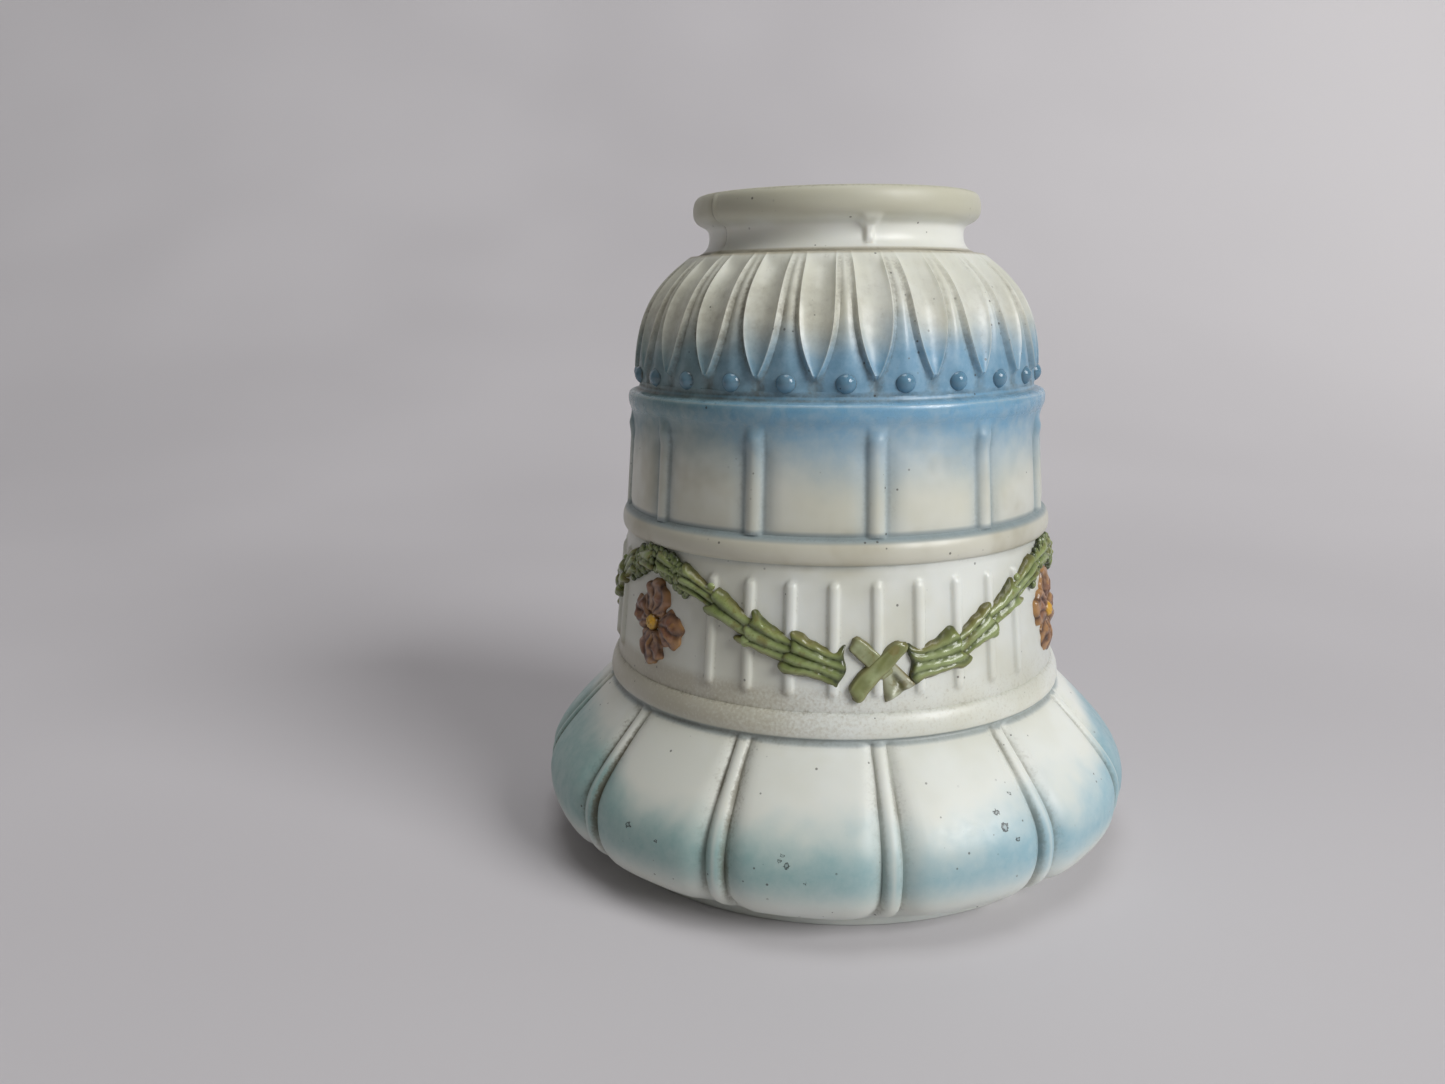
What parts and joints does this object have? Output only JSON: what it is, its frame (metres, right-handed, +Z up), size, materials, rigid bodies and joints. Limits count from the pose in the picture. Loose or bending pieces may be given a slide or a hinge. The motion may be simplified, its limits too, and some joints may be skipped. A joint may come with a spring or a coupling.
{
  "type": "glass lamp shade",
  "caption": "Bell-shaped opal glass lamp shade with a fitter collar, leaf dome, ribbed drum, a frieze of enamelled swags and flowers, and a flared lobed skirt.",
  "frame": {"origin": "centre of the ground foot ring, at its lowest plane", "axes": "+Z up along the bell's axis, from the open mouth to the fitter collar; -Y faces the middle of bow_1, and +X is to the right seen from there"},
  "size_m": [0.1216, 0.1216, 0.131],
  "materials": {
    "opal_glass": "satin-gloss opal white, sprayed with a blue tint on the beads, upper roll and skirt, with grime in the creases",
    "leaf_enamel": "glossy fired enamel, mid green with olive edges",
    "ribbon_enamel": "glossy fired enamel, pale olive green",
    "rose_enamel": "satin fired enamel, dusty rose brown with darker veins",
    "ochre_enamel": "fired enamel, ochre yellow"
  },
  "bodies": {
    "root": {"glass_shell": "opal_glass", "bow_1": "ribbon_enamel", "garland_1_left": "leaf_enamel", "garland_1_right": "leaf_enamel", "leaf_spray_1": "leaf_enamel", "flower_petals_1": "rose_enamel", "flower_centre_1": "ochre_enamel", "bow_2": "ribbon_enamel", "garland_2_left": "leaf_enamel", "garland_2_right": "leaf_enamel", "leaf_spray_2": "leaf_enamel", "flower_petals_2": "rose_enamel", "flower_centre_2": "ochre_enamel", "bow_3": "ribbon_enamel", "garland_3_left": "leaf_enamel", "garland_3_right": "leaf_enamel", "leaf_spray_3": "leaf_enamel", "flower_petals_3": "rose_enamel", "flower_centre_3": "ochre_enamel"}
  },
  "joints": []
}
